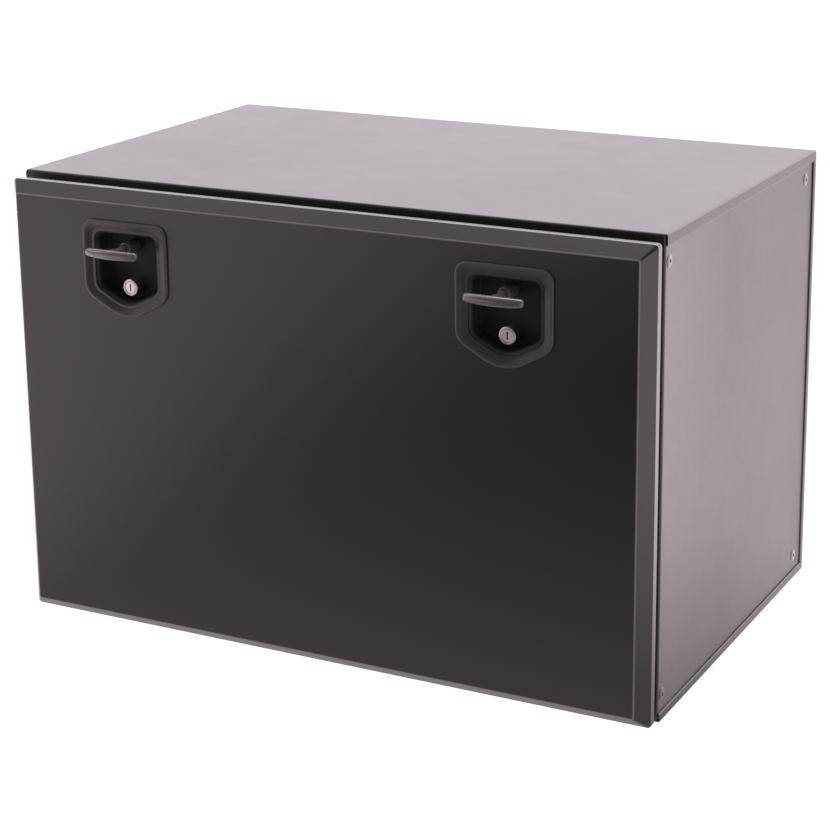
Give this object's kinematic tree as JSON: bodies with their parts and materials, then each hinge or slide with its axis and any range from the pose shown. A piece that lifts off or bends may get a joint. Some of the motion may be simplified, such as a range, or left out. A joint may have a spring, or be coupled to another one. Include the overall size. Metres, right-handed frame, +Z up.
{
  "type": "truck underbody storage box",
  "caption": "Black powder-coated steel storage box with a bottom-hinged bevelled front door, recessed T-handle latches with key locks, rubber seal and slotted door stays.",
  "frame": {"origin": "middle of the steel body's flat underside", "axes": "+Z up, +X along the width, the door faces -Y"},
  "size_m": [0.7546, 0.5296, 0.503],
  "materials": {
    "body_powder_coat": "satin black powder coat",
    "door_powder_coat": "satin black powder coat",
    "seal_rubber": "matte black EPDM",
    "zinc_steel": "zinc plated",
    "black_screws": "black zinc",
    "dish_black": "semi-matt black",
    "spindle_dark": "dark coated zinc casting",
    "handle_grey": "satin grey coated zinc casting",
    "lock_nickel": "satin nickel"
  },
  "bodies": {
    "body": {"body_wrapper": "body_powder_coat", "door_seal": "seal_rubber", "hinge_body_leaf": "zinc_steel", "hinge_pin": "zinc_steel", "hinge_rivets_body": "zinc_steel", "end_panel_left": "body_powder_coat", "front_post_left": "body_powder_coat", "rear_post_left": "body_powder_coat", "side_screws_left": "black_screws", "side_nuts_left": "zinc_steel", "stay_stud_left": "zinc_steel", "end_panel_right": "body_powder_coat", "front_post_right": "body_powder_coat", "rear_post_right": "body_powder_coat", "side_screws_right": "black_screws", "side_nuts_right": "zinc_steel", "stay_stud_right": "zinc_steel"},
    "door": {"door_skin": "door_powder_coat", "door_liner": "door_powder_coat", "hinge_door_leaf": "zinc_steel", "hinge_rivets_door": "zinc_steel", "door_stiffener_left": "door_powder_coat", "latch_dish_left": "dish_black", "dish_clamp_left": "zinc_steel", "dish_spacers_left": "seal_rubber", "lock_cylinder_left": "lock_nickel", "lock_nut_left": "zinc_steel", "stay_bracket_left": "door_powder_coat", "stay_pivot_left": "zinc_steel", "door_stiffener_right": "door_powder_coat", "latch_dish_right": "dish_black", "dish_clamp_right": "zinc_steel", "dish_spacers_right": "seal_rubber", "lock_cylinder_right": "lock_nickel", "lock_nut_right": "zinc_steel", "stay_bracket_right": "door_powder_coat", "stay_pivot_right": "zinc_steel"},
    "latch_left": {"latch_spindle_left": "spindle_dark", "fold_pin_left": "zinc_steel", "latch_cam_left": "zinc_steel", "cam_nut_left": "zinc_steel"},
    "handle_left": {"t_handle_left": "handle_grey"},
    "plug_left": {"lock_plug_left": "lock_nickel", "lock_pawl_left": "lock_nickel"},
    "stay_left": {"stay_bar_left": "zinc_steel"},
    "latch_right": {"latch_spindle_right": "spindle_dark", "fold_pin_right": "zinc_steel", "latch_cam_right": "zinc_steel", "cam_nut_right": "zinc_steel"},
    "handle_right": {"t_handle_right": "handle_grey"},
    "plug_right": {"lock_plug_right": "lock_nickel", "lock_pawl_right": "lock_nickel"},
    "stay_right": {"stay_bar_right": "zinc_steel"}
  },
  "joints": [
    {"name": "door_hinge", "type": "hinge", "parent": "body", "child": "door", "pos_m": [0, -0.2354, 0.0055], "axis": [1, 0, 0], "range_deg": [0, 90]},
    {"name": "latch_turn_left", "type": "hinge", "parent": "door", "child": "latch_left", "pos_m": [-0.2215, -0.247, 0.437], "axis": [0, 1, 0], "range_deg": [-90, 0]},
    {"name": "handle_fold_left", "type": "hinge", "parent": "latch_left", "child": "handle_left", "pos_m": [-0.2215, -0.264, 0.437], "axis": [1, 0, 0], "range_deg": [0, 80]},
    {"name": "key_turn_left", "type": "hinge", "parent": "door", "child": "plug_left", "pos_m": [-0.2215, -0.247, 0.393], "axis": [0, -1, 0], "range_deg": [-90, 0]},
    {"name": "stay_swing_left", "type": "hinge", "parent": "door", "child": "stay_left", "pos_m": [-0.3435, -0.22, 0.22496], "axis": [1, 0, 0], "range_deg": [-45, 0]},
    {"name": "latch_turn_right", "type": "hinge", "parent": "door", "child": "latch_right", "pos_m": [0.2215, -0.247, 0.437], "axis": [0, -1, 0], "range_deg": [-90, 0]},
    {"name": "handle_fold_right", "type": "hinge", "parent": "latch_right", "child": "handle_right", "pos_m": [0.2215, -0.264, 0.437], "axis": [1, 0, 0], "range_deg": [0, 80]},
    {"name": "key_turn_right", "type": "hinge", "parent": "door", "child": "plug_right", "pos_m": [0.2215, -0.247, 0.393], "axis": [0, 1, 0], "range_deg": [-90, 0]},
    {"name": "stay_swing_right", "type": "hinge", "parent": "door", "child": "stay_right", "pos_m": [0.3435, -0.22, 0.22496], "axis": [1, 0, 0], "range_deg": [-45, 0]}
  ],
  "couplings": [
    {"joint": "stay_swing_left", "follows": "door_hinge", "ratio": -0.5},
    {"joint": "stay_swing_right", "follows": "door_hinge", "ratio": -0.5}
  ]
}
